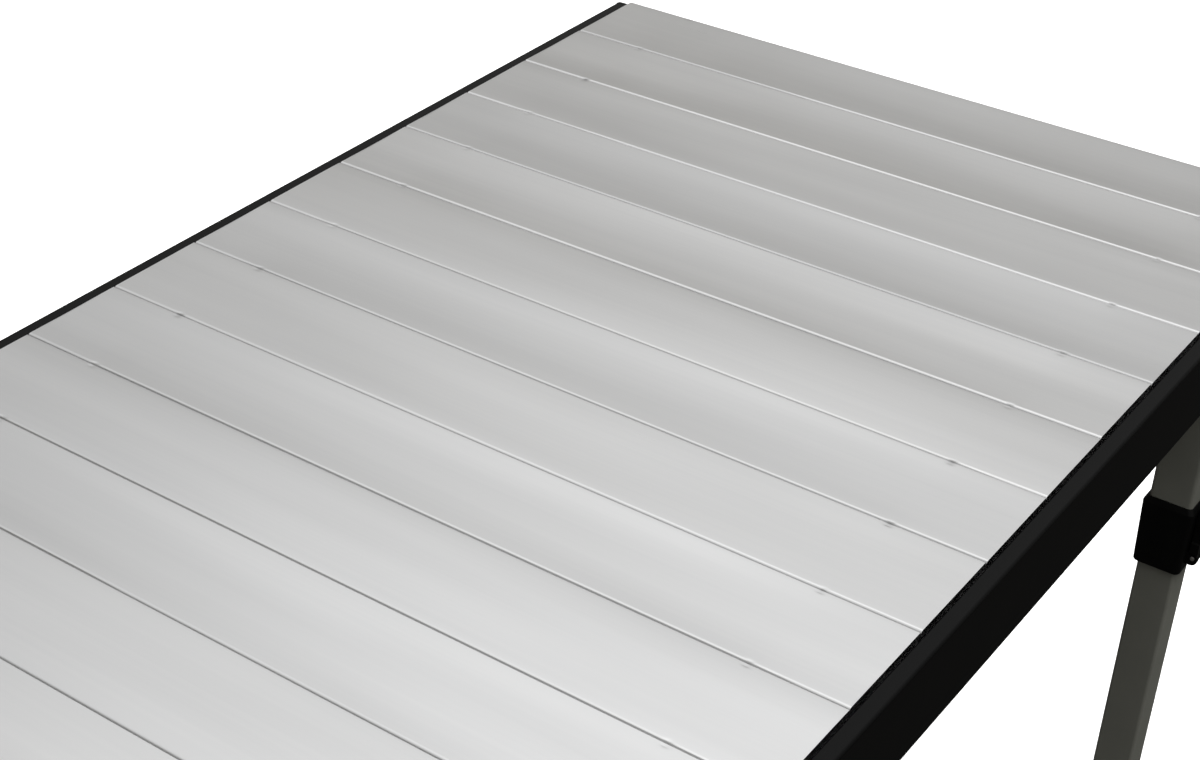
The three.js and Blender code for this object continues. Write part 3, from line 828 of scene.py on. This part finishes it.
# ---------------------------------------------------------------- stage, light and camera
FLOOR_REACH = 40.0
SKY_LEVELS = (  # (sine of the elevation, brightness)
    (-1.0, 0.14), (-0.4, 0.07), (-0.05, 0.1), (0.0, 0.85), (0.1, 0.6), (0.2, 0.36), (0.3, 0.27),
    (0.42, 0.29), (0.5, 0.67), (0.56, 0.88), (0.66, 1.08), (0.74, 1.12), (0.83, 1.45),
    (0.92, 1.6), (1.0, 1.45))
SKY_WARMTH = 0.09  # how much blue is missing low in the sky
GLOW_AZIMUTH = math.radians(28)  # from the far end, towards the left
GLOW_REACH = math.radians(30)
GLOW_LOW = 0.56  # the sky's share of brightness away from the glow
SOFTBOX_WATTS = 560


def add_floor():
    floor = bmesh.new()
    square = box_corners(-FLOOR_REACH, -FLOOR_REACH, FLOOR_REACH, FLOOR_REACH)
    floor.faces.new([floor.verts.new((x, y, 0)) for x, y in square])
    data = bpy.data.meshes.new("floor")
    floor.to_mesh(data)
    floor.free()
    obj = bpy.data.objects.new("floor", data)
    scene.collection.objects.link(obj)
    material = bpy.data.materials.new("pale_floor")
    material.use_nodes = True
    tree = material.node_tree
    shader = tree.nodes["Principled BSDF"]
    shader.inputs["Base Color"].default_value = (0.93, 0.93, 0.93, 1)
    shader.inputs["Roughness"].default_value = 0.9
    shader.inputs["Specular IOR Level"].default_value = 0.0
    below = add(tree, "ShaderNodeNewGeometry").outputs["Backfacing"]
    clear = add(tree, "ShaderNodeBsdfTransparent").outputs[0]
    mix = add(tree, "ShaderNodeMixShader", [(0, below), (1, shader.outputs[0]), (2, clear)])
    tree.links.new(mix.outputs[0], tree.nodes["Material Output"].inputs["Surface"])
    data.materials.append(material)
    obj.visible_glossy = False
    obj.visible_diffuse = False


def add_sky():
    """A soft surround: dim below the horizon, and brighter high up and towards one side."""
    world = bpy.data.worlds.new("soft_surround")
    scene.world = world
    world.use_nodes = True
    tree = world.node_tree
    direction = add(tree, "ShaderNodeTexCoord").outputs["Generated"]
    split = add(tree, "ShaderNodeSeparateXYZ", [("Vector", direction)])
    height = add(tree, "ShaderNodeMapRange", [("Value", split.outputs["Z"]), ("From Min", -1.0)])
    colors = []
    for sine, level in SKY_LEVELS:
        warmth = SKY_WARMTH if sine < 0.5 else 0.0
        colors.append(((sine + 1) / 2, (level, level * (1 - warmth / 3), level * (1 - warmth))))
    color = ramp(tree, height.outputs[0], colors)
    left = math_node(tree, "MULTIPLY", split.outputs["X"], -1.0)
    around = math_node(tree, "ARCTAN2", left, split.outputs["Y"])
    aside = math_node(tree, "SUBTRACT", around, GLOW_AZIMUTH)
    glow = falloff(tree, (aside, GLOW_REACH))
    background = tree.nodes["Background"]
    tree.links.new(color, background.inputs["Color"])
    tree.links.new(span(tree, glow, GLOW_LOW, 1.0), background.inputs["Strength"])


def add_softbox(name, place, aim, size, power):
    data = bpy.data.lights.new(name, "AREA")
    data.shape = "RECTANGLE"
    data.size, data.size_y = size
    data.energy = power
    light = bpy.data.objects.new(name, data)
    light.location = place
    light.rotation_euler = (Vector(aim) - Vector(place)).to_track_quat("-Z", "Y").to_euler()
    light.visible_glossy = False
    light.visible_camera = False
    scene.collection.objects.link(light)


def add_camera():
    """The photo's view, solved from its slat seams and rails."""
    data = bpy.data.cameras.new("camera")
    data.sensor_width = 36
    data.lens = 64.365
    data.shift_x, data.shift_y = 0.0861, 0.0505
    data.clip_start, data.clip_end = 0.05, 100
    camera = bpy.data.objects.new("camera", data)
    camera.location = (0.62204, -0.82194, 1.39402)
    camera.rotation_euler = [math.radians(angle) for angle in (56.020, -0.615, 36.720)]
    scene.collection.objects.link(camera)
    scene.camera = camera


add_top()
add_cords()
add_rails()
add_beams()
for corner_name, corner_across, corner_along in CORNERS:
    add_leg(corner_name, corner_across, corner_along)
for end_name, _ in ENDS:
    add_crossbar(end_name)
add_floor()
add_sky()
add_softbox("overhead_softbox", (-0.4, 0.8, 5.0), (-0.4, 0.8, 0.0), (7.0, 7.0), SOFTBOX_WATTS)
add_camera()
scene.view_settings.view_transform = "Standard"
